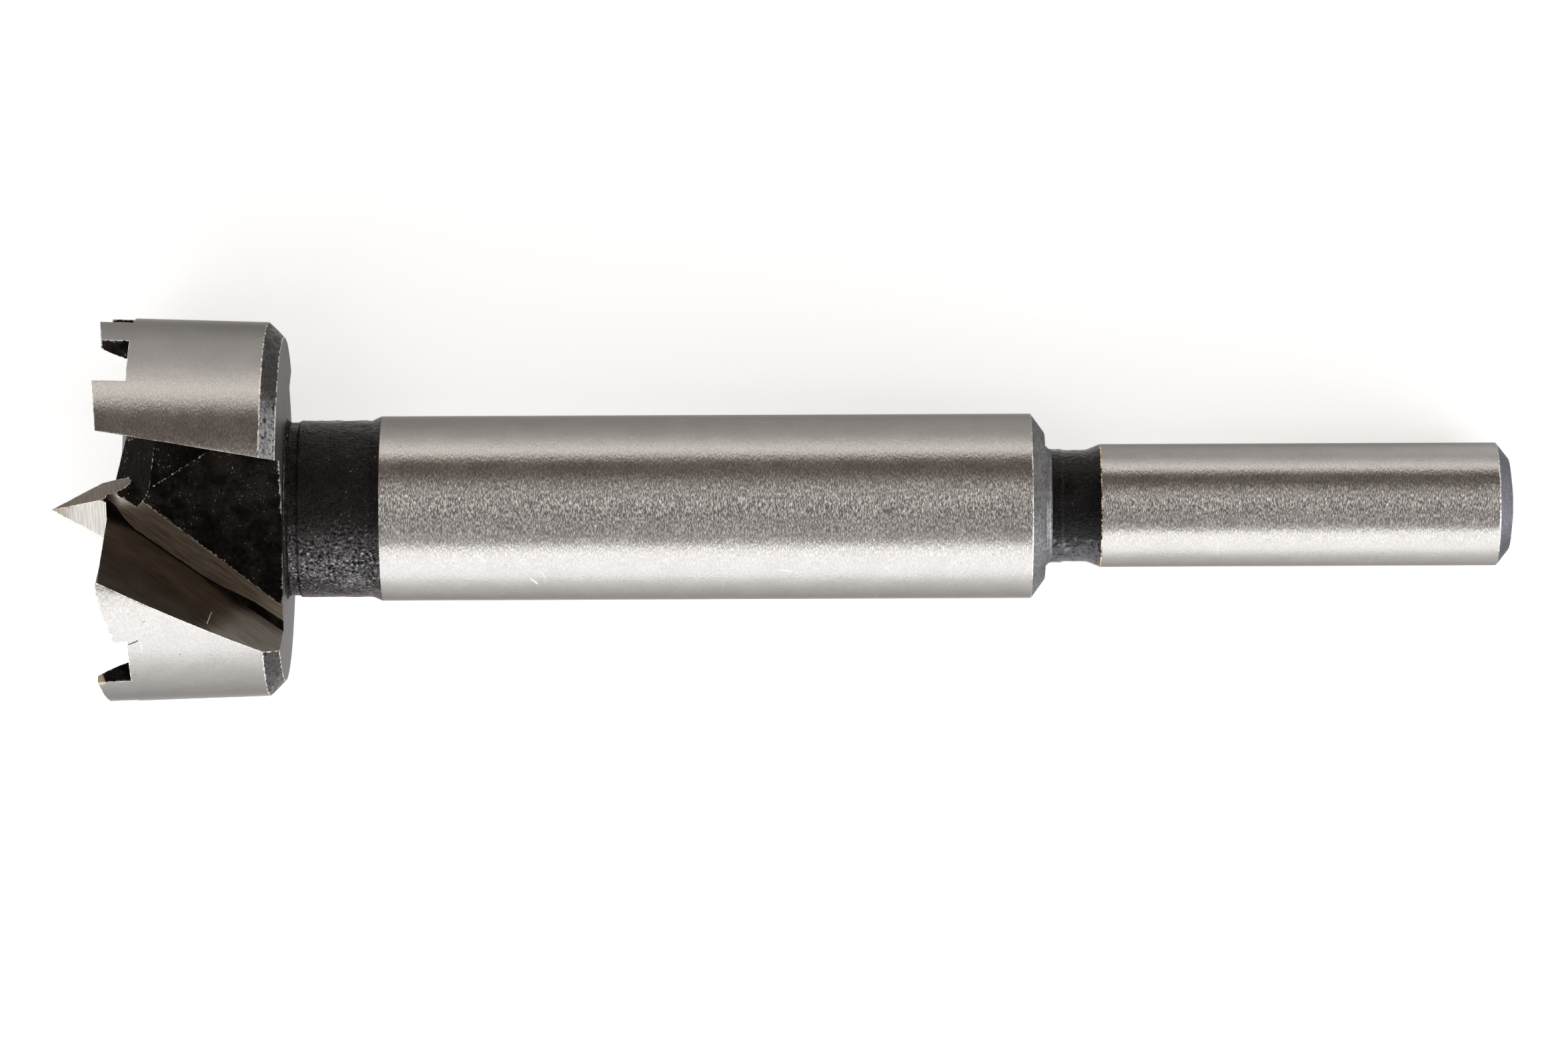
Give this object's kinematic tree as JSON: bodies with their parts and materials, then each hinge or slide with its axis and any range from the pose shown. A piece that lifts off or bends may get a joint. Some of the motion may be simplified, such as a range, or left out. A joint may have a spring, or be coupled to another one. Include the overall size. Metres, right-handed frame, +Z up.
{
  "type": "forstner bit",
  "caption": "Toothed round boring head with a centre point, two cutting lips and chip gullets on a stepped cylindrical shank, for flat-bottomed holes in wood.",
  "frame": {"origin": "middle of the bottom of the box around the bit as it lies on a flat surface", "axes": "+X from the centre point's side towards the shank's end, +Z up, +Y across; the bit's own axis falls towards the shank by 5.1 degrees, because the head is wider than the shank"},
  "size_m": [0.0948, 0.0248, 0.0241],
  "materials": {
    "steel": "ground steel on the rim, body, shank and lips, black forged skin in the gullets and on the neck"
  },
  "bodies": {
    "root": {"forstner_bit": "steel"}
  },
  "joints": []
}
